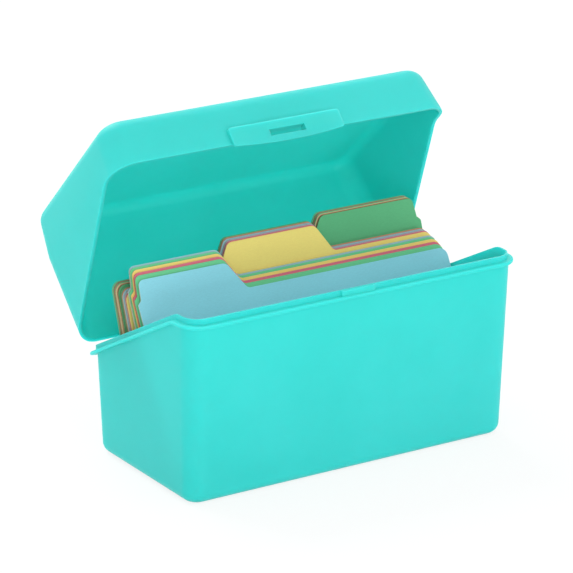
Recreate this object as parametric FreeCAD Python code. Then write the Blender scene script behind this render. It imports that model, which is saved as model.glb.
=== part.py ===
import FreeCAD, Part
import math
import os
from FreeCAD import Vector

# A card box for 5 by 3 inch cards: a tub with a slanted rim, a lid hinged behind the rear wall
# and held open past its balance point, and three groups of tabbed dividers leaning back.
# Millimetres and degrees. X is right, Y is back, Z is up. The origin is on the table, under the
# middle of the tub's floor.

# Cards and dividers
card_width = 127.0
divider_height = 76.2
divider_thickness = 0.4
tab_height = 10.1
tab_slope_run = 6.0
tab_boundary_shares = (0.319, 0.650)
tab_end_inset = 1.5
tab_end_shoulder = 1.7
tab_end_rise = 3.1
tab_end_lean = 0.8
tab_corner_round = 3.0
tab_end_round = 2.2
tab_foot_round = 2.2
card_corner_round = 3.2
shoulder_round = 0.7
card_foot_round = 2.4

# The tub
card_side_room = 0.5
tub_floor_depth = 61.6
wall = 1.3
end_wall_draft = 1.2
front_wall_draft = 3.0
floor_thickness = 1.6
rim_height = 68.2
rim_slope = 27.0
rim_peak_y = -25.0
rim_peak_round = 8.0
tub_corner_round = 7.0
tub_floor_corner_round = 6.0
tub_edge_round = 4.0
tub_inner_edge_round = 2.0
bead_proud = 1.4
bead_thickness = 1.3
bead_edge_round = 0.45
upstand_height = 2.0
upstand_step = 0.65

# The lid
lid_rise = 16.8
lid_overhang = 0.3
lid_wall = 1.3
lid_break_drop = 0.7
lid_end_draft = 7.0
lid_front_draft = 3.0
lid_back_draft = 3.5
lid_edge_round = 5.5
seam_gap = 0.3
lid_open_angle = 43.8

# The latch
tongue_width = 45.0
tongue_reach = 5.8
tongue_drop = 2.6
tongue_end_drop = 1.2
tongue_tip = 0.5
tongue_corner_round = 1.0
slot_width = 14.4
slot_height = 2.6
catch_height = 1.9
catch_room = 0.6
latch_clearance = 0.14

# The hinges
hinge_spacing = 84.0
hinge_axis_drop = 2.27
hinge_axis_back = 4.6
pin_radius = 1.5
pin_clearance = 0.05
knuckle_radius = 3.2
knuckle_width = 9.0
lug_width = 3.0
side_play = 0.3
lug_fall = 6.0
arm_gap = 0.5
arm_thickness = 2.4
arm_reach = 9.0
heel_thickness = 2.5
stop_gap = 0.3

# The stack of dividers: where the feet stand, as shares of the floor's depth, and how far they
# lean, at the front of each group and at the last divider. Between two of those, the dividers
# stand in loose pairs, at the shares of the way that the next table gives.
card_floor_gap = 0.3
group_names = ("left", "middle", "right")
stack_foot_shares = (-0.448, -0.170, -0.039, 0.034)
stack_lean_angles = (28.3, 21.0, 19.0, 18.3)
stack_place_shares = (
    (0.0, 0.23, 0.37, 0.53, 0.66, 0.76),
    (0.0, 0.14, 0.29, 0.45, 0.60, 0.75),
    (0.0, 0.19, 0.40, 0.59, 0.80, 1.0),
)
side_shift_shares = (0.15, -0.25, 0.05, 0.30, -0.15, 0.20)

# How far the front divider tips forward, and the share of that left for the last one
fan_angle = 26.0
last_fan_share = 0.3

# A length that cuts reach past what they cut
overrun = 5.0

# Sizes that follow from those above
end_run_share = math.tan(math.radians(end_wall_draft))
front_run_share = math.tan(math.radians(front_wall_draft))
rim_run_share = math.tan(math.radians(rim_slope))
inner_floor_width = card_width + 2 * card_side_room
floor_width = inner_floor_width + 2 * wall
floor_depth = tub_floor_depth + 2 * wall
bead_width = floor_width + 2 * (end_run_share * rim_height + bead_proud)
bead_depth = floor_depth + 2 * (front_run_share * rim_height + bead_proud)
bead_corner_round = tub_corner_round + bead_proud
upstand_inset = bead_proud + upstand_step
lid_width = bead_width + 2 * lid_overhang
lid_depth = bead_depth + 2 * lid_overhang
lid_corner_round = bead_corner_round + lid_overhang
lid_top_height = rim_height + lid_rise
lid_break_height = rim_height - lid_break_drop
bead_top = rim_height - upstand_height
lid_edge_height = bead_top + seam_gap
hinge_y = bead_depth / 2 + hinge_axis_back
hinge_z = bead_top - bead_thickness - rim_run_share * (bead_depth / 2 - rim_peak_y) - hinge_axis_drop
lid_inner_round = lid_edge_round - lid_wall

part_folder = "parts"
close_points = 1e-6


def rounded_rectangle(width, depth, radius, height, shift_y=0.0):
    """A level closed wire of four sides and four quarter arcs, centred on X and on shift_y."""
    reach_x = width / 2 - radius
    reach_y = depth / 2 - radius
    arcs = []
    for turn, (side_x, side_y) in enumerate(((1, 1), (-1, 1), (-1, -1), (1, -1))):
        centre = Vector(side_x * reach_x, shift_y + side_y * reach_y, height)
        arcs.append(Part.makeCircle(radius, centre, Vector(0, 0, 1), 90 * turn, 90 * (turn + 1)))
    edges = []
    for arc, following in zip(arcs, arcs[1:] + arcs[:1]):
        edges.append(arc)
        edges.append(Part.makeLine(arc.lastVertex().Point, following.firstVertex().Point))
    return Part.Wire(edges)


def level_edges(shape, height):
    """The edges of a shape that lie level at one height."""
    near = shape.BoundBox.DiagonalLength * close_points
    return [e for e in shape.Edges
            if abs(e.BoundBox.ZMin - height) < near and abs(e.BoundBox.ZMax - height) < near]


def rounded_outline(corners, place):
    """A closed wire through corners given as (a, b, radius), with a tangent arc at each radius."""
    count = len(corners)
    starts, ends, middles = [], [], []
    for index in range(count):
        a, b, radius = corners[index]
        before, after = corners[index - 1], corners[(index + 1) % count]
        point = Vector(a, b, 0)
        to_before = (Vector(before[0], before[1], 0) - point).normalize()
        to_after = (Vector(after[0], after[1], 0) - point).normalize()
        half_angle = to_before.getAngle(to_after) / 2
        tangent = radius / math.tan(half_angle)
        bisector = (to_before + to_after).normalize()
        centre = point + bisector * (radius / math.sin(half_angle))
        starts.append(point + to_before * tangent)
        ends.append(point + to_after * tangent)
        middles.append(centre - bisector * radius)
    edges = []
    for index in range(count):
        if corners[index][2] > 0:
            arc_points = [place(p) for p in (starts[index], middles[index], ends[index])]
            edges.append(Part.Arc(*arc_points).toShape())
        following = starts[(index + 1) % count]
        if ends[index].distanceToPoint(following) > divider_thickness * close_points:
            edges.append(Part.makeLine(place(ends[index]), place(following)))
    return Part.Wire(edges)


def on_side(point):
    """A point of a side profile, (y, z), in the plane x = 0."""
    return Vector(0, point.x, point.y)


def on_front(point):
    """A point of a front profile, (x, z), in the plane y = 0."""
    return Vector(point.x, 0, point.y)


def side_block(corners, width, centre_x):
    """A side profile extruded along X, centred on centre_x."""
    face = Part.Face(rounded_outline(corners, on_side))
    face.translate(Vector(centre_x - width / 2, 0, 0))
    return face.extrude(Vector(width, 0, 0))


def drafted_block(width, depth, corner, bottom, top, corner_top):
    """A block on a rounded rectangle whose four sides lean out by the walls' drafts."""
    wider = 2 * end_run_share * (top - bottom)
    deeper = 2 * front_run_share * (top - bottom)
    lower = rounded_rectangle(width, depth, corner, bottom)
    upper = rounded_rectangle(width + wider, depth + deeper, corner_top, top)
    return Part.makeLoft([lower, upper], True, True)


def under_rim(drop):
    """Everything under the rim line lowered by drop: level in front, then sloping to the back."""
    level = rim_height - drop
    reach = bead_depth / 2 + overrun
    back_z = level - rim_run_share * (reach - rim_peak_y)
    corners = (
        (-reach, -overrun, 0), (reach, -overrun, 0), (reach, back_z, 0),
        (rim_peak_y, level, rim_peak_round), (-reach, level, 0),
    )
    return side_block(corners, bead_width + 2 * overrun, 0)


def make_bead():
    """The ledge that runs round the tub just under the rim and that the lid's edge rests on."""
    low_corner = bead_corner_round
    outline = rounded_rectangle(bead_width, bead_depth, low_corner, 0)
    prism = Part.Face(outline).extrude(Vector(0, 0, rim_height))
    band = under_rim(upstand_height).cut(under_rim(upstand_height + bead_thickness))
    bead = prism.common(band)
    inner = Part.Face(rounded_rectangle(
        bead_width - bead_thickness, bead_depth - bead_thickness,
        low_corner - bead_thickness / 2, -overrun)).extrude(Vector(0, 0, rim_height + overrun))
    rims = [e for e in bead.Edges if not inner.isInside(
        e.valueAt((e.FirstParameter + e.LastParameter) / 2), bead_edge_round, True)]
    posts = [e for e in rims if e.BoundBox.ZLength > bead_thickness - bead_edge_round
             and e.BoundBox.DiagonalLength < bead_thickness + bead_edge_round]
    rims = [e for e in rims if not any(e.isSame(post) for post in posts)]
    return bead.makeFillet(bead_edge_round, rims)


def make_upstand():
    """The thin lip above the bead, which the lid closes over."""
    outline = rounded_rectangle(
        bead_width - 2 * upstand_inset, bead_depth - 2 * upstand_inset,
        bead_corner_round - upstand_inset, 0)
    prism = Part.Face(outline).extrude(Vector(0, 0, rim_height + overrun))
    return prism.common(under_rim(0).cut(under_rim(upstand_height)))


def make_catch():
    """The small block on the front lip that the lid's slot drops over."""
    front = bead_depth / 2 - catch_room - lid_overhang
    back = bead_depth / 2 - upstand_inset - upstand_step / 2
    width = slot_width - 2 * catch_room
    block = Part.makeBox(width, front - back, catch_height + bead_thickness / 2)
    block.translate(Vector(-width / 2, -front, bead_top - bead_thickness / 2))
    return block


def wall_back_y(height):
    """How far back the tub's rear wall stands at a height."""
    return floor_depth / 2 + front_run_share * height


def hinge_places():
    """The middle of each hinge along X."""
    return (-hinge_spacing / 2, hinge_spacing / 2)


def bead_middle(y):
    """The height of the middle of the bead's thickness on the sloping rim, at a depth."""
    return bead_top - bead_thickness / 2 - rim_run_share * (y - rim_peak_y)


def make_lugs(centre_x):
    """Two lugs that run from the rear wall and the bead to the hinge, with a pin between them."""
    root = wall_back_y(hinge_z) - wall / 2
    ledge = (bead_depth - bead_proud) / 2
    corners = (
        (root, hinge_z - lug_fall, 0),
        (hinge_y, hinge_z - knuckle_radius, 0),
        (hinge_y, hinge_z + knuckle_radius, 0),
        (ledge, bead_middle(ledge), 0),
        (root, bead_middle(root), 0),
    )
    reach = knuckle_width / 2 + side_play + lug_width / 2
    pieces = []
    for side in (-1, 1):
        middle = centre_x + side * reach
        pieces.append(side_block(corners, lug_width, middle))
        start = Vector(middle - lug_width / 2, hinge_y, hinge_z)
        pieces.append(Part.makeCylinder(knuckle_radius, lug_width, start, Vector(1, 0, 0)))
    start = Vector(centre_x - reach, hinge_y, hinge_z)
    pieces.append(Part.makeCylinder(pin_radius, 2 * reach, start, Vector(1, 0, 0)))
    return pieces


def make_base_tub():
    """The tub with its bead, lip, catch and hinge lugs, moulded in one."""
    outside = drafted_block(
        floor_width, floor_depth, tub_floor_corner_round, 0, rim_height, tub_corner_round)
    outside = outside.makeFillet(tub_edge_round, level_edges(outside, 0))
    walls = outside.common(under_rim(upstand_height))
    inside = drafted_block(
        inner_floor_width + 2 * end_run_share * floor_thickness,
        tub_floor_depth + 2 * front_run_share * floor_thickness, tub_floor_corner_round - wall,
        floor_thickness, rim_height + overrun, tub_corner_round - wall)
    inside = inside.makeFillet(tub_inner_edge_round, level_edges(inside, floor_thickness))
    tub = walls.fuse([make_bead(), make_upstand()]).cut(inside)
    extras = [make_catch()]
    for centre_x in hinge_places():
        extras.extend(make_lugs(centre_x))
    return tub.fuse(extras).removeSplitter()


def lid_form(inset, top, edge_round):
    """The lid's outer form, or its inner one, as a solid: upright below, drawn in above."""
    rise = top - lid_break_height
    end_run = rise * math.tan(math.radians(lid_end_draft))
    front_run = rise * math.tan(math.radians(lid_front_draft))
    back_run = rise * math.tan(math.radians(lid_back_draft))
    width, depth = lid_width - 2 * inset, lid_depth - 2 * inset
    corner = lid_corner_round - inset
    top_depth = depth - front_run - back_run
    sections = (
        rounded_rectangle(width, depth, corner, 0),
        rounded_rectangle(width, depth, corner, lid_break_height),
        rounded_rectangle(width - 2 * end_run, top_depth, corner, top, (front_run - back_run) / 2),
    )
    form = Part.makeLoft(list(sections), True, True)
    return form.makeFillet(edge_round, level_edges(form, top))


def swing_run(drop):
    """How far back the lid's front edge moves while it lifts by drop, with the latch's clearance."""
    return drop * (lid_edge_height - hinge_z) / (hinge_y + lid_depth / 2) + latch_clearance


def make_tongue():
    """The latch tongue: a raised plate on the front panel that hangs past its edge in a bow."""
    face_y = lid_depth / 2
    tip_y = bead_depth / 2 + swing_run(tongue_drop - seam_gap)
    outer_y = tip_y + tongue_tip
    low = lid_edge_height - tongue_drop
    high = lid_edge_height + tongue_reach
    side = (
        (-outer_y, low, 0), (-tip_y, low, 0), (-face_y, lid_edge_height, 0),
        (-(face_y - lid_wall / 2), lid_edge_height, 0), (-(face_y - lid_wall / 2), high, 0),
        (-outer_y, high, 0),
    )
    plate = side_block(side, tongue_width, 0)
    reach = tongue_width / 2
    end_z = lid_edge_height - tongue_end_drop
    top_left, top_right = Vector(-reach, 0, high), Vector(reach, 0, high)
    low_left, low_right = Vector(-reach, 0, end_z), Vector(reach, 0, end_z)
    bow = Part.Arc(low_left, Vector(0, 0, low), low_right).toShape()
    outline = Part.Wire([
        bow, Part.makeLine(low_right, top_right), Part.makeLine(top_right, top_left),
        Part.makeLine(top_left, low_left)])
    mask = Part.Face(outline).extrude(Vector(0, -(outer_y + overrun), 0))
    tongue = plate.common(mask)
    posts = [e for e in tongue.Edges
             if abs(abs(e.BoundBox.XMin) - reach) < tongue_tip / 2
             and e.BoundBox.XLength < tongue_tip / 2
             and e.BoundBox.YLength > tongue_tip / 2
             and e.BoundBox.ZLength < tongue_tip / 2]
    return tongue.makeFillet(tongue_corner_round, posts)


def make_slot():
    """The slot through the tongue and the front panel."""
    slot = Part.makeBox(slot_width, 2 * lid_wall + overrun, slot_height)
    slot.translate(Vector(-slot_width / 2, -lid_depth / 2 - overrun + lid_wall / 2, lid_edge_height))
    return slot


def stop_heel_length():
    """The heel's length that stops it just short of the rear wall when the lid is open."""
    turned = math.radians(lid_open_angle)
    wall_y = wall_back_y(hinge_z)
    room = hinge_y - wall_y - stop_gap - heel_thickness / 2 * math.cos(turned)
    return room / math.sin(turned)


def make_arm(centre_x):
    """A hinge arm on the lid's back panel, with the knuckle and the heel that stops the lid."""
    front = bead_depth / 2 + arm_gap
    back = front + arm_thickness
    edge_z = rim_height - (hinge_y - rim_peak_y) * rim_run_share
    top = edge_z + arm_reach
    arm = (
        (front, top, 0), (front, hinge_z + knuckle_radius, 0), (hinge_y - knuckle_radius, hinge_z, 0),
        (hinge_y + knuckle_radius, hinge_z, 0), (back, hinge_z + 3 * knuckle_radius, 0), (back, top, 0),
    )
    bridge_low = edge_z + 2 * seam_gap
    bridge = (
        (lid_depth / 2 - lid_wall / 2, bridge_low, 0), (back, bridge_low, 0),
        (back, top, 0), (lid_depth / 2 - lid_wall / 2, top, 0),
    )
    heel_end = hinge_z - stop_heel_length()
    heel = (
        (hinge_y - heel_thickness / 2, heel_end, 0), (hinge_y + heel_thickness / 2, heel_end, 0),
        (hinge_y + heel_thickness / 2, hinge_z, 0), (hinge_y - heel_thickness / 2, hinge_z, 0),
    )
    pieces = [side_block(profile, knuckle_width, centre_x) for profile in (arm, bridge, heel)]
    start = Vector(centre_x - knuckle_width / 2, hinge_y, hinge_z)
    pieces.append(Part.makeCylinder(knuckle_radius, knuckle_width, start, Vector(1, 0, 0)))
    return pieces


def make_lid():
    """The lid, made closed and then turned open about the hinge axis."""
    outside = lid_form(0, lid_top_height, lid_edge_round)
    inside = lid_form(lid_wall, lid_top_height - lid_wall, lid_inner_round)
    shell = outside.cut(inside).cut(under_rim(upstand_height - seam_gap))
    extras = [make_tongue()]
    for centre_x in hinge_places():
        extras.extend(make_arm(centre_x))
    lid = shell.fuse(extras).cut(make_slot())
    for centre_x in hinge_places():
        start = Vector(centre_x - knuckle_width, hinge_y, hinge_z)
        bore = Part.makeCylinder(pin_radius + pin_clearance, 2 * knuckle_width, start, Vector(1, 0, 0))
        lid = lid.cut(bore)
    lid = lid.removeSplitter()
    lid.rotate(Vector(0, hinge_y, hinge_z), Vector(1, 0, 0), -lid_open_angle)
    return lid


def divider_outline(group):
    """The corners of a divider, (x, height, radius), with the tab of its group."""
    body = divider_height - tab_height
    half_run = tab_slope_run / 2
    left_end, right_end = (card_width * share for share in tab_boundary_shares)
    foot, far_foot = (0, 0, card_foot_round), (card_width, 0, card_foot_round)
    plain = (0, body, card_corner_round)
    far_plain = (card_width, body, card_corner_round)
    shoulder = (0, body + tab_end_shoulder, shoulder_round)
    notch = (tab_end_inset, body + tab_end_rise, shoulder_round)
    end_top = (tab_end_inset + tab_end_lean, divider_height, tab_end_round)
    rise_left = [(left_end - half_run, body, tab_foot_round),
                 (left_end + half_run, divider_height, tab_corner_round)]
    fall_left = [(left_end - half_run, divider_height, tab_corner_round),
                 (left_end + half_run, body, tab_foot_round)]
    rise_right = [(right_end - half_run, body, tab_foot_round),
                  (right_end + half_run, divider_height, tab_corner_round)]
    fall_right = [(right_end - half_run, divider_height, tab_corner_round),
                  (right_end + half_run, body, tab_foot_round)]
    if group == "left":
        return [foot, shoulder, notch, end_top] + fall_left + [far_plain, far_foot]
    if group == "middle":
        return [foot, plain] + rise_left + fall_right + [far_plain, far_foot]
    ends = [(card_width - x, z, radius) for x, z, radius in (end_top, notch, shoulder)]
    return [foot, plain] + rise_right + ends + [far_foot]


def along_stack(values, group_index, number):
    """A value between those given at the fronts of the groups and at the last divider."""
    start, end = values[group_index], values[group_index + 1]
    return start + (end - start) * stack_place_shares[group_index][number]


def foot_of(group_index, number):
    """The lean of a divider and the (y, z) of the lower edge of its foot, about which it tips."""
    lean = along_stack(stack_lean_angles, group_index, number)
    foot_y = tub_floor_depth * along_stack(stack_foot_shares, group_index, number)
    foot_y += divider_thickness * math.cos(math.radians(lean))
    return lean, foot_y, floor_thickness + card_floor_gap


def fan_share_of(group_index, number):
    """How far a divider tips forward, as a share of the front one's tilt."""
    way = (group_index + stack_place_shares[group_index][number]) / len(group_names)
    return 1 - (1 - last_fan_share) * way


def make_divider(group_index, number):
    """One divider, standing on the floor at its place in the stack and leaning back."""
    lean, foot_y, foot_z = foot_of(group_index, number)
    outline = rounded_outline(divider_outline(group_names[group_index]), on_front)
    divider = Part.Face(outline).extrude(Vector(0, -divider_thickness, 0))
    divider.rotate(Vector(0, 0, 0), Vector(1, 0, 0), -lean)
    shift = card_side_room * side_shift_shares[(number + group_index) % len(side_shift_shares)]
    divider.translate(Vector(shift - card_width / 2, foot_y, foot_z))
    return divider


def main():
    os.makedirs(part_folder, exist_ok=True)
    nodes = {"base_tub": make_base_tub(), "lid": make_lid()}
    for group_index, group in enumerate(group_names):
        for number in range(len(stack_place_shares[group_index])):
            nodes["divider_%s_%d" % (group, number + 1)] = make_divider(group_index, number)
    for name, shape in nodes.items():
        shape.exportStep(os.path.join(part_folder, name + ".step"))
        box = shape.BoundBox
        print("%-20s solids %d valid %s volume %.0f  x %.1f %.1f  y %.1f %.1f  z %.1f %.1f" % (
            name, len(shape.Solids), shape.isValid(), shape.Volume,
            box.XMin, box.XMax, box.YMin, box.YMax, box.ZMin, box.ZMax))


main()
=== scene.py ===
# %% [markdown]
# # An index card box, dressed for its portrait
#
# The object is a moulded plastic box for 5 by 3 inch cards, with its lid standing open and three
# groups of tabbed dividers leaning back inside. Its true shape and size come from the CAD model.
# This notebook gives it its surfaces, moulded plastic for the tub and the lid and coloured card
# for the dividers, and then lights it as for a catalogue. Lengths are in metres, and only the
# camera's sensor and lens are in millimetres, because Blender keeps those that way.

# %% Load the CAD model
import math
import bmesh
import bpy
from mathutils import Matrix, Vector


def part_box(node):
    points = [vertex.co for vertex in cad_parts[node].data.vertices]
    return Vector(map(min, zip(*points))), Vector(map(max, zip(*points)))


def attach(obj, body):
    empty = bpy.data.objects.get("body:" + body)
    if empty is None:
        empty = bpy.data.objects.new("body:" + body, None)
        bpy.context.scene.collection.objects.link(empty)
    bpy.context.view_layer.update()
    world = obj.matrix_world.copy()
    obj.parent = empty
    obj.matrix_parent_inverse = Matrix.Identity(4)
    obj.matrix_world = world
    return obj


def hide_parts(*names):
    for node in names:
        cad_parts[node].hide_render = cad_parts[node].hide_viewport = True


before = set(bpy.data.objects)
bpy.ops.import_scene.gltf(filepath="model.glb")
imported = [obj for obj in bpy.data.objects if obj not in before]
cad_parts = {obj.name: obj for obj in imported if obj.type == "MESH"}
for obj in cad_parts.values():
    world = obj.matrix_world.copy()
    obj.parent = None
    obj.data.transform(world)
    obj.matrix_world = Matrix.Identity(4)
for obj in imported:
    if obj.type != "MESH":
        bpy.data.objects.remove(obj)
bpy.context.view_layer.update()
mm = 0.001
scene = bpy.context.scene
print("nodes:", len(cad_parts))

# %% [markdown]
# ## The camera
#
# A camera can be dragged into place by eye, or placed by where it looks and from which side. The
# second way can be written down and repeated. We take the point on the object that sits in the
# middle of the picture, step back from it along the line of sight, and choose the focal length
# that makes the object fill the frame. A long lens from far away keeps the box's parallel edges
# almost parallel, as in a catalogue picture.

# %% Place the camera
view = {"turn": -32.2, "rise": 19.2, "tilt": -0.1, "away": 1300.0 * mm,
        "aim": (-6.4 * mm, 0.0, 59.3 * mm), "focal_px": 3724.0, "frame_px": 573.0,
        "sensor": 36.0, "nearest": 0.05, "farthest": 20.0}


def place_camera():
    turn, rise, tilt = (math.radians(view[name]) for name in ("turn", "rise", "tilt"))
    back = Vector((math.sin(turn) * math.cos(rise), -math.cos(turn) * math.cos(rise),
                   math.sin(rise)))
    level = Vector((math.cos(turn), math.sin(turn), 0.0))
    upright = back.cross(level).normalized()
    right = level * math.cos(tilt) + upright * math.sin(tilt)
    up = upright * math.cos(tilt) - level * math.sin(tilt)
    lens = bpy.data.cameras.new("portrait_lens")
    lens.sensor_width = view["sensor"]
    lens.lens = view["focal_px"] / view["frame_px"] * view["sensor"]
    lens.clip_start, lens.clip_end = view["nearest"], view["farthest"]
    camera = bpy.data.objects.new("portrait_camera", lens)
    scene.collection.objects.link(camera)
    axes = Matrix((right, up, back)).transposed().to_4x4()
    camera.matrix_world = Matrix.Translation(Vector(view["aim"]) + back * view["away"]) @ axes
    scene.camera = camera
    return camera


camera = place_camera()
print("lens", round(camera.data.lens, 1), "mm from", round(view["away"], 2), "m")

# %% [markdown]
# ## Adding nodes from Python
#
# Materials and Geometry Nodes are graphs: nodes with settings and sockets, joined by links. They
# can be drawn by hand in Blender's editors, but a script is easier to read again and to change.
# One function adds every node here. It takes the node's type, then its settings, which come first
# because they decide which sockets it has, and then the values or links of its sockets. A list is
# for a socket that takes several links.

# %% One way to add a node
def feed(tree, node, values):
    """Sets the sockets of a node: a Flow is linked, and anything else is a plain value."""
    for name, value in values.items():
        for part in value if isinstance(value, list) else [value]:
            if isinstance(part, Flow):
                tree.links.new(part.socket, node.inputs[name])
            else:
                node.inputs[name].default_value = part


def add_node(tree, kind, settings=None, values=None):
    node = tree.nodes.new(kind)
    for name, value in (settings or {}).items():
        if name == "options":
            while len(node.index_switch_items) < value:
                node.index_switch_items.new()
        else:
            setattr(node, name, value)
    feed(tree, node, values or {})
    return node


print("a node takes its type, its settings, and the values or links of its sockets")

# %% [markdown]
# ## Node maths as Python
#
# Each sum in a graph is a node of its own, so a formula soon fills the screen. This class wraps
# the output of a node and lets us write `0.36 + 0.10 * drift` instead: each operator adds the Math
# node that does it, also when the plain number comes first. Colours don't go through Math nodes,
# which would turn them grey, so they have a `mix` of their own.

# %% A wrapper for node outputs
class Flow:
    """One output of a node, with Python's operators."""

    def __init__(self, tree, socket):
        self.tree, self.socket = tree, socket

    def node(self, kind, settings=None, values=None, out=0):
        """A new node in the same graph, as the Flow of one of its outputs."""
        return Flow(self.tree, add_node(self.tree, kind, settings, values).outputs[out])

    def maths(self, operation, first, second):
        return self.node("ShaderNodeMath", {"operation": operation}, {0: first, 1: second})

    def __add__(self, other): return self.maths("ADD", self, other)
    def __radd__(self, other): return self.maths("ADD", other, self)
    def __sub__(self, other): return self.maths("SUBTRACT", self, other)
    def __rsub__(self, other): return self.maths("SUBTRACT", other, self)
    def __mul__(self, other): return self.maths("MULTIPLY", self, other)
    def __rmul__(self, other): return self.maths("MULTIPLY", other, self)

    def span(self, low, high):
        """A smooth rise from 0 to 1 while this value goes from low to high."""
        return self.node("ShaderNodeMapRange", {"interpolation_type": "SMOOTHSTEP"},
                         {0: self, "From Min": low, "From Max": high})

    def mix(self, colour_a, colour_b):
        """Mixes two colours, with this value as the share of the second."""
        return self.node("ShaderNodeMix", {"data_type": "RGBA"},
                         {0: self, 6: colour_a, 7: colour_b}, out=2)


print("operators:", [name for name in vars(Flow) if name.endswith(("add__", "sub__", "mul__"))])

# %% [markdown]
# ## Starting a material
#
# Every finish here begins alike: a Principled shader, which can stand for almost any surface, and
# the object's own coordinates, which carry the patterns. Object coordinates stay with the piece
# when it moves, have no seams, and are in metres, so a pattern's scale can be compared with the
# real one. Colours are written as a picture shows them, from 0 to 255, and turned into the linear
# light that a shader works with by the sRGB curve.

# %% Helpers for materials
def new_material(name):
    """A material, its graph, its Principled shader and a Flow of the object's coordinates."""
    material = bpy.data.materials.new(name)
    material.use_nodes = True
    tree = material.node_tree
    place = Flow(tree, add_node(tree, "ShaderNodeTexCoord").outputs["Object"])
    return material, tree, tree.nodes["Principled BSDF"], place


def noise(place, scale, detail, roughness=0.5):
    """Noise at a scale, in specks to the metre, with a number of finer layers."""
    return place.node("ShaderNodeTexNoise", None, {
        "Vector": place, "Scale": scale, "Detail": detail, "Roughness": roughness})


def bump(height, strength, distance, under=None):
    """Tilts the shading by a height, on top of the normal under it, if there is one."""
    values = {"Strength": strength, "Distance": distance, "Height": height}
    if under:
        values["Normal"] = under
    return height.node("ShaderNodeBump", None, values)


def rgb(red, green, blue):
    def linear(shade):
        share = shade / 255.0
        return share / 12.92 if share <= 0.04045 else ((share + 0.055) / 1.055) ** 2.4
    return (linear(red), linear(green), linear(blue), 1.0)


print("a mid grey, linear:", [round(v, 3) for v in rgb(128, 128, 128)])

# %% [markdown]
# ## The moulded plastic
#
# The tub and the lid are polypropylene straight from the mould: smooth but not mirror-like. The
# mould leaves a very fine grain, the walls wave a little where they shrank as they cooled, and the
# colour drifts where the melt flowed. A photograph of plastic could be wrapped round the box, but
# it would show seams, so noise at three scales gives the drift, the waves and the grain.
#
# Thin coloured plastic also glows, because light enters it and comes out elsewhere: the inside of
# an open lid is lit partly through its wall. Subsurface scattering does that. No moulded edge is
# truly sharp either. A Bevel node rounds the shading along the edges and costs no faces.

# %% The teal plastic
plastic = {"deep": rgb(65, 214, 207), "light": rgb(71, 218, 212), "tone span": (0.3, 0.7),
           "drift": (22.0, 3.0, 0.6), "waves": (60.0, 1.0), "grain": (2600.0, 2.0),
           "dull": 0.36, "drift dulls": 0.10, "grain dulls": 0.05, "edge radius": 0.35 * mm,
           "wave bump": (0.10, 0.8 * mm), "grain bump": (0.12, 0.02 * mm), "glow reach": 4.0 * mm}


def teal_plastic(name="teal_plastic"):
    material, tree, shader, place = new_material(name)
    drift, waves, grain = (noise(place, *plastic[name]) for name in ("drift", "waves", "grain"))
    rounded = place.node("ShaderNodeBevel", {"samples": 6}, {"Radius": plastic["edge radius"]})
    wavy = bump(waves, *plastic["wave bump"], rounded)
    feed(tree, shader, {
        "Base Color": drift.span(*plastic["tone span"]).mix(plastic["deep"], plastic["light"]),
        "Roughness": (plastic["dull"] + plastic["drift dulls"] * drift
                      + plastic["grain dulls"] * grain),
        "Normal": bump(grain, *plastic["grain bump"], wavy),
        "IOR": 1.49, "Specular IOR Level": 0.2, "Subsurface Weight": 1.0,
        "Subsurface Radius": (0.35, 1.0, 0.95), "Subsurface Scale": plastic["glow reach"]})
    return material


teal = teal_plastic()
print("plastic nodes:", len(teal.node_tree.nodes))

# %% [markdown]
# ## Smooth shells
#
# The CAD meshes of the tub and the lid have the right shape, but they are loose triangles, each
# with its own flat shade, so a rounded corner would look cut like a gem. They could be remeshed,
# but that would soften the real edges. We copy each mesh instead, weld its points, and shade it
# smooth except where two faces meet at a real edge. The copy then stands for the CAD node.

# %% Weld and smooth the tub and the lid
weld_distance = 0.002 * mm
crease_angle = math.radians(32.0)


def smooth_shell(node, piece, body, material):
    mesh = bpy.data.meshes.new(piece)
    work = bmesh.new()
    work.from_mesh(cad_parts[node].data)
    bmesh.ops.remove_doubles(work, verts=work.verts, dist=weld_distance)
    for face in work.faces:
        face.smooth = True
    for edge in work.edges:
        edge.smooth = len(edge.link_faces) == 2 and edge.calc_face_angle(0.0) < crease_angle
    work.to_mesh(mesh)
    work.free()
    mesh.materials.clear()
    mesh.materials.append(material)
    shell = bpy.data.objects.new(piece, mesh)
    scene.collection.objects.link(shell)
    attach(shell, body)
    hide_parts(node)
    print(piece, "faces", len(mesh.polygons))
    return shell


smooth_shell("base_tub", "tub_shell", "tub", teal)
smooth_shell("lid", "lid_shell", "lid", teal)

# %% [markdown]
# ## One divider, by rule
#
# All eighteen dividers are the same card with its tab in one of three places: a sheet of stiff
# card stamped out with a die that also rounds the corners. Each could be modelled by hand, but a
# rule like that suits Geometry Nodes: one graph makes them all, and a size changed once changes
# every card. Its sizes are those of the CAD model.

# %% The sizes of a divider
card_width = 127.0 * mm
card = {"Width": card_width, "Height": 76.2 * mm, "Thickness": 0.4 * mm, "Tab height": 10.1 * mm,
        "Slope run": 6.0 * mm, "First split": 0.319 * card_width,
        "Second split": 0.650 * card_width, "End inset": 1.5 * mm, "End lean": 0.8 * mm,
        "End shoulder": 1.7 * mm, "End rise": 3.1 * mm,
        "Corner round": 3.0 * mm, "End round": 2.2 * mm, "Slope foot round": 2.2 * mm,
        "Body round": 3.2 * mm, "Shoulder round": 0.7 * mm, "Foot round": 2.4 * mm}
groups = ("left", "middle", "right")
print("a divider is", [round(card[k] / mm, 1) for k in ("Width", "Height", "Thickness")], "mm")

# %% [markdown]
# A tabbed card has eight corners, whichever place its tab is in. The outer tabs also have a small
# notch at the card's end. The corners are written below as sums on the graph's own inputs, so the
# Flow class turns them into Math nodes. Each corner is its place along the card, its height, and
# how far it is rounded.

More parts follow.
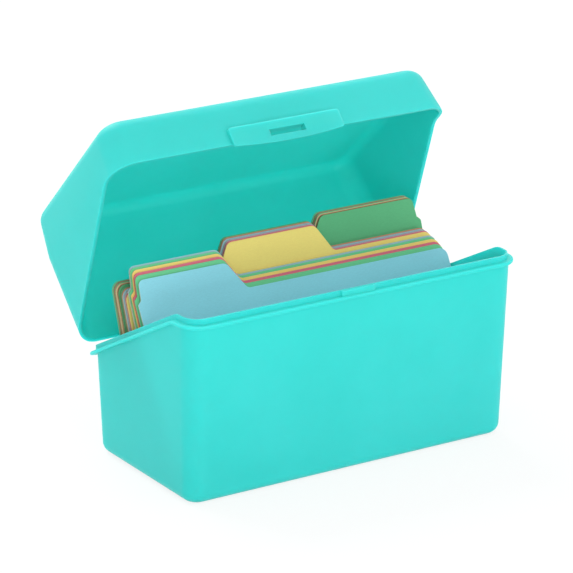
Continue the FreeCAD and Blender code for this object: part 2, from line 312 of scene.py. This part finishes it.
# %% The corners of a divider
def corner_rings(size):
    """For each group, the eight corners in their order round the card."""
    zero = size["Width"] * 0.0
    body = size["Height"] - size["Tab height"]
    half = size["Slope run"] * 0.5

    def slope(foot_x, head_x):
        return [(foot_x, body, size["Slope foot round"]),
                (head_x, size["Height"], size["Corner round"])]

    def rise(split):
        return slope(split - half, split + half)

    def fall(split):
        return slope(split + half, split - half)[::-1]

    end = [(zero, body + size["End shoulder"], size["Shoulder round"]),
           (size["End inset"], body + size["End rise"], size["Shoulder round"]),
           (size["End inset"] + size["End lean"], size["Height"], size["End round"])]
    far_end = [(size["Width"] - x, height, rounding) for x, height, rounding in reversed(end)]
    foot, far_foot = (zero, zero, size["Foot round"]), (size["Width"], zero, size["Foot round"])
    plain, far_plain = (zero, body, size["Body round"]), (size["Width"], body, size["Body round"])
    first, second = size["First split"], size["Second split"]
    return {"left": [foot] + end + fall(first) + [far_plain, far_foot],
            "middle": [foot, plain] + rise(first) + fall(second) + [far_plain, far_foot],
            "right": [foot, plain] + rise(second) + far_end + [far_foot]}


print("beside its tab a card is", round((card["Height"] - card["Tab height"]) / mm, 1), "mm high")

# %% [markdown]
# A graph shows its inputs as sockets, and a modifier that uses the graph shows them as fields. A
# modifier knows them by an identifier and not by name, so we keep both. Besides the sizes, a card
# needs to know its group, how far it leans, where it stands, and what stock it is cut from.

# %% The inputs of the divider graph
def card_sockets(tree):
    """Adds the sockets, and gives their identifiers and their Flows, by name."""
    wanted = [(name, "Float", value) for name, value in card.items()]
    wanted += [("Group", "Int", 0), ("Lean", "Float", 0.0), ("Place", "Vector", (0.0, 0.0, 0.0)),
               ("Stock", "Material", None)]
    identifiers = {}
    for name, kind, value in wanted:
        socket = tree.interface.new_socket(name, in_out="INPUT", socket_type="NodeSocket" + kind)
        socket.default_value = value
        identifiers[name] = socket.identifier
    tree.interface.new_socket("Divider", in_out="OUTPUT", socket_type="NodeSocketGeometry")
    start = add_node(tree, "NodeGroupInput")
    return identifiers, {name: Flow(tree, start.outputs[name]) for name in identifiers}


print("sizes among the inputs:", len(card))

# %% [markdown]
# The outline starts as a ring of eight points. Each point asks which one it is with the Index
# node, and an Index Switch hands it the place of its corner. A second switch chooses between the
# three groups. The Fillet Curve node then rounds each corner by its own radius.

# %% The rounded outline
round_steps = 6


def choose(kind, options, by):
    """Hands on the option whose number `by` gives."""
    return by.node("GeometryNodeIndexSwitch", {"data_type": kind, "options": len(options)},
                   dict(enumerate([by] + options)))


def rounded_ring(size):
    index = size["Group"].node("GeometryNodeInputIndex")
    corners = corner_rings(size)
    rings = [corners[group] for group in groups]
    points = [[index.node("ShaderNodeCombineXYZ", None, {0: x, 1: height}) for x, height, _ in ring]
              for ring in rings]
    radii = [[rounding for _, _, rounding in ring] for ring in rings]
    places = choose("VECTOR", [choose("VECTOR", ring, index) for ring in points], size["Group"])
    rounds = choose("FLOAT", [choose("FLOAT", ring, index) for ring in radii], size["Group"])
    ring = index.node("GeometryNodeCurvePrimitiveCircle", {"mode": "RADIUS"},
                      {"Resolution": len(radii[0])})
    shape = index.node("GeometryNodeSetPosition", None, {"Geometry": ring, "Position": places})
    return index.node("GeometryNodeFilletCurve", {"mode": "POLY"},
                      {"Curve": shape, "Count": round_steps, "Radius": rounds})


print("points round each corner:", round_steps + 1)

# %% [markdown]
# Fill Curve turns the outline into a flat face, and Extrude Mesh lifts that face by the card's
# thickness. It leaves no face behind, so the flat face, flipped, closes the back. The faces that
# the lift draws up are the cut edge of the card. They are marked with an attribute, which the
# card's material reads later, because cut card shows its core.

# %% The sheet of card
def card_sheet(flat, thickness):
    lift = add_node(flat.tree, "GeometryNodeExtrudeMesh", {"mode": "FACES"},
                    {"Mesh": flat, "Offset Scale": thickness, "Individual": False})
    front, sides = (Flow(flat.tree, lift.outputs[name]) for name in ("Mesh", "Side"))
    marked = front.node("GeometryNodeStoreNamedAttribute", {"data_type": "FLOAT", "domain": "FACE"},
                        {"Geometry": front, "Name": "cut_edge", "Value": sides})
    back = flat.node("GeometryNodeFlipFaces", None, {"Mesh": flat})
    both = flat.node("GeometryNodeJoinGeometry", None, {0: [back, marked]})
    return both.node("GeometryNodeMergeByDistance", None,
                     {"Geometry": both, "Distance": weld_distance})


print("a sheet has two faces and a cut edge, welded to within", weld_distance / mm, "mm")

# %% [markdown]
# The graph now puts these together. The sheet is made lying flat, so it is stood up, leaned back
# and moved to its place in one step. Realize Instances and Set Material come last, so that what
# leaves the graph is plain mesh that already has its finish.

# %% The divider graph
def divider_tree():
    tree = bpy.data.node_groups.new("divider_card", "GeometryNodeTree")
    identifiers, size = card_sockets(tree)
    flat = size["Width"].node("GeometryNodeFillCurve", {"mode": "NGONS"},
                              {"Curve": rounded_ring(size)})
    sheet = card_sheet(flat, size["Thickness"])
    turn = sheet.node("ShaderNodeCombineXYZ", None, {0: math.pi / 2 - size["Lean"]})
    stood = sheet.node("GeometryNodeTransform", None,
                       {"Geometry": sheet, "Translation": size["Place"], "Rotation": turn})
    real = sheet.node("GeometryNodeRealizeInstances", None, {"Geometry": stood})
    done = sheet.node("GeometryNodeSetMaterial", None,
                      {"Geometry": real, "Material": size["Stock"]})
    add_node(tree, "NodeGroupOutput", None, {"Divider": done})
    return tree, identifiers


card_tree, card_inputs = divider_tree()
print("divider tree:", len(card_tree.nodes), "nodes,", len(card_inputs), "inputs")

# %% [markdown]
# ## Card stock
#
# The dividers are cut from coloured pressboard: matt and a little fibrous, with a cut edge that
# shows the paler or browner core. One flat colour would look like plastic. Noise that is squeezed
# along the card gives the long fibres, and a much finer noise the tooth of the surface. The edge
# attribute from the graph then chooses between the face colour and the core.

# %% The card material
stock = {"dark fleck": 0.9604, "light fleck": 1.0288, "dark core": 0.8,
         "shade": (35.0, 2.0), "fibres": (1.0, 3.0, 0.65), "tooth": (4200.0, 1.0),
         "fibre scale": (900.0, 3200.0, 3200.0), "fibre turn": (0.0, 0.4, 0.0),
         "fibre share": 0.6, "fleck span": (0.34, 0.66), "core span": (0.3, 0.7),
         "dull": 0.80, "fibre dulls": 0.12, "tooth bump": (0.35, 0.03 * mm)}


def toned(colour, factor):
    """A colour made darker or lighter, and held at white at most."""
    return tuple(min(1.0, part * factor) for part in colour[:3]) + (1.0,)


def card_stock(name, face_colour, core_colour):
    material, tree, shader, place = new_material(name)
    along = place.node("ShaderNodeMapping", None, {
        "Vector": place, "Scale": stock["fibre scale"], "Rotation": stock["fibre turn"]})
    shade, tooth = noise(place, *stock["shade"]), noise(place, *stock["tooth"])
    fibres = noise(along, *stock["fibres"])
    most, rest = stock["fibre share"], 1.0 - stock["fibre share"]
    flecks = (most * fibres + rest * shade).span(*stock["fleck span"])
    face = flecks.mix(toned(face_colour, stock["dark fleck"]),
                      toned(face_colour, stock["light fleck"]))
    core = tooth.span(*stock["core span"]).mix(toned(core_colour, stock["dark core"]), core_colour)
    cut = place.node("ShaderNodeAttribute", {"attribute_name": "cut_edge"}, out="Fac")
    feed(tree, shader, {
        "Base Color": cut.mix(face, core),
        "Roughness": stock["dull"] + stock["fibre dulls"] * fibres,
        "Normal": bump(most * fibres + rest * tooth, *stock["tooth bump"]),
        "Specular IOR Level": 0.25})
    return material


print("flecks run from", stock["dark fleck"], "to", stock["light fleck"], "times the card's colour")

# %% [markdown]
# Office card comes in a few stock colours, and old cards and new ones differ a little. Each row
# below is one stock: the colour of its face, and the colour of the core that its cut edge shows.

# %% The colours of the card
card_colours = {
    "blue_card": ((153, 225, 241), (196, 196, 178)),
    "green_card": ((117, 216, 157), (158, 166, 126)),
    "pink_card": ((232, 121, 140), (180, 116, 90)),
    "yellow_card": ((254, 228, 130), (220, 190, 134)),
    "blue_grey_card": ((165, 205, 213), (186, 186, 178)),
    "lavender_card": ((182, 180, 192), (170, 162, 152)),
    "salmon_card": ((215, 146, 117), (172, 136, 102)),
    "brown_card": ((176, 130, 92), (148, 128, 94)),
    "buff_card": ((236, 211, 165), (200, 178, 136)),
    "pink_brown_card": ((194, 136, 119), (158, 124, 98)),
    "dark_green_card": ((101, 188, 134), (118, 118, 82)),
}
stocks = {name: card_stock(name, rgb(*face), rgb(*core))
          for name, (face, core) in card_colours.items()}
print("card stocks:", len(stocks))

# %% [markdown]
# ## Eighteen dividers
#
# Six dividers have their tab at the left, six in the middle and six at the right, and they lean
# back at angles of their own. Where each one stands and how far it leans could be typed in, but
# the CAD model already knows: with the card's height and thickness given, the depth and the height
# of the box round its CAD node give the lean.

# %% How a divider stands
def stand_of(node):
    """The lean of a divider and the place of its lower back edge, from the box of its node."""
    low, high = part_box(node)
    depth, height = high.y - low.y, high.z - low.z
    tall, thick = card["Height"], card["Thickness"]
    lean = math.atan2(tall * depth - thick * height, tall * height - thick * depth)
    return lean, (low.x, low.y + thick * math.cos(lean), low.z)


front_lean = stand_of("divider_left_1")[0]
print("the front divider leans back", round(math.degrees(front_lean), 1), "degrees")

# %% [markdown]
# The graph makes one card, so it runs once for each divider, as a modifier on an empty mesh. Its
# inputs are set before it is first evaluated. The result is taken as a plain mesh and the maker
# is thrown away, because each card has to move on its own body of the model.

# %% Make one divider
def make_divider(group, number, stock_name):
    node = "divider_%s_%d" % (group, number)
    lean, place = stand_of(node)
    maker = bpy.data.objects.new(node + "_maker", bpy.data.meshes.new(node + "_maker"))
    scene.collection.objects.link(maker)
    modifier = maker.modifiers.new("card", "NODES")
    modifier.node_group = card_tree
    given = {"Group": groups.index(group), "Lean": lean, "Place": place,
             "Stock": stocks[stock_name]}
    for name, value in {**card, **given}.items():
        modifier[card_inputs[name]] = value
    made = maker.evaluated_get(bpy.context.evaluated_depsgraph_get())
    mesh = bpy.data.meshes.new_from_object(made)
    bpy.data.objects.remove(maker)
    mesh.name = node + "_card"
    piece = bpy.data.objects.new(node + "_card", mesh)
    scene.collection.objects.link(piece)
    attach(piece, node)
    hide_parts(node)
    return piece


print("values that each divider is given:", len(card_inputs))

# %% [markdown]
# The colours are dealt out as in a used card file, from the front of each group to its back.

# %% Deal out the cards
deal = {
    "left": ("blue", "green", "pink", "yellow", "green", "blue_grey"),
    "middle": ("yellow", "pink", "lavender", "blue_grey", "salmon", "dark_green"),
    "right": ("dark_green", "brown", "buff", "green", "pink_brown", "green"),
}
dividers = [make_divider(group, number, colour + "_card")
            for group in groups for number, colour in enumerate(deal[group], 1)]
print("dividers:", len(dividers), "faces in each:", len(dividers[0].data.polygons))

# %% [markdown]
# ## The floor
#
# A catalogue picture stands on white paper that runs into a white background. A floor lit until
# it is that white would need lamps that wash out the box. So the floor is partly a plain white
# emitter, for the rays that the camera sees straight or in a gloss, and partly a real pale
# surface, which keeps the soft shadow under the box and throws light up into the lid.

# %% The white floor
floor_look = {"colour": (0.93, 0.93, 0.93, 1.0), "reach": 6.0, "emitter share": 0.8,
              "strength": 1.04}


def seen_share(tree):
    """1 for a ray that the camera sees, also in a gloss or through a clear body, or else 0."""
    path = add_node(tree, "ShaderNodeLightPath")
    straight, gloss, clear = (Flow(tree, path.outputs["Is %s Ray" % name])
                              for name in ("Camera", "Glossy", "Transmission"))
    seen = straight + gloss + clear
    return seen.maths("MINIMUM", seen, 1.0)


def white_floor():
    material, tree, shader, place = new_material("floor_white")
    feed(tree, shader, {
        "Base Color": floor_look["colour"], "Roughness": 0.9, "Specular IOR Level": 0.1})
    glow = place.node("ShaderNodeEmission", None, {"Strength": floor_look["strength"]})
    blend = place.node("ShaderNodeMixShader", None, {
        0: seen_share(tree) * floor_look["emitter share"],
        1: Flow(tree, shader.outputs[0]), 2: glow})
    feed(tree, tree.nodes["Material Output"], {"Surface": blend})
    reach = floor_look["reach"]
    corners = [(-reach, -reach, 0), (reach, -reach, 0), (reach, reach, 0), (-reach, reach, 0)]
    mesh = bpy.data.meshes.new("floor")
    mesh.from_pydata(corners, [], [tuple(range(len(corners)))])
    mesh.materials.append(material)
    floor = bpy.data.objects.new("floor", mesh)
    scene.collection.objects.link(floor)
    print("floor:", 2 * reach, "m across")


white_floor()

# %% [markdown]
# ## The light from all round
#
# A white studio sends light from every side. Blender's world does that, and it is also the
# background of the picture. The background has to be full white, but that much light would
# flatten the box, so the world is white where the camera sees it and weaker for everything else.

# %% The white world
world_level = 0.78


def white_world(level):
    world = bpy.data.worlds.new("studio")
    scene.world = world
    world.use_nodes = True
    tree = world.node_tree
    feed(tree, tree.nodes["Background"], {
        "Color": (1.0, 1.0, 1.0, 1.0), "Strength": seen_share(tree) * (1.0 - level) + level})


white_world(world_level)
print("world level:", world_level)

# %% [markdown]
# ## Three soft lamps
#
# Large area lamps give soft shadows, as the paper-covered lights of a studio do. The front lamp
# shapes the box and the cards. The low lamp, a long narrow one near the floor, reaches under the
# lid. The back lamp stands behind the box, so that some of its light comes through the lid.

# %% The lamps
lamps = {"front_lamp": {"place": (-0.35, -1.7, 1.05), "width": 1.3, "height": 1.0, "watts": 5.0},
         "low_lamp": {"place": (-0.1, -0.85, 0.1), "width": 1.0, "height": 0.16, "watts": 1.3},
         "back_lamp": {"place": (-0.1, 1.3, 1.3), "width": 1.2, "height": 1.2, "watts": 16.0}}
lamp_aim = Vector((0.0, 0.0, 0.07))


def soft_lamp(name, place, width, height, watts):
    data = bpy.data.lights.new(name, "AREA")
    data.shape, data.size, data.size_y, data.energy = "RECTANGLE", width, height, watts
    lamp = bpy.data.objects.new(name, data)
    lamp.location = place
    lamp.rotation_mode = "QUATERNION"
    lamp.rotation_quaternion = (Vector(place) - lamp_aim).to_track_quat("Z", "Y")
    scene.collection.objects.link(lamp)


for name, values in lamps.items():
    soft_lamp(name, **values)
    print(name, values["watts"], "W")

# %% [markdown]
# ## Finish
#
# The Standard view shows colours as they are written.

# %% The view transform
scene.view_settings.view_transform = "Standard"
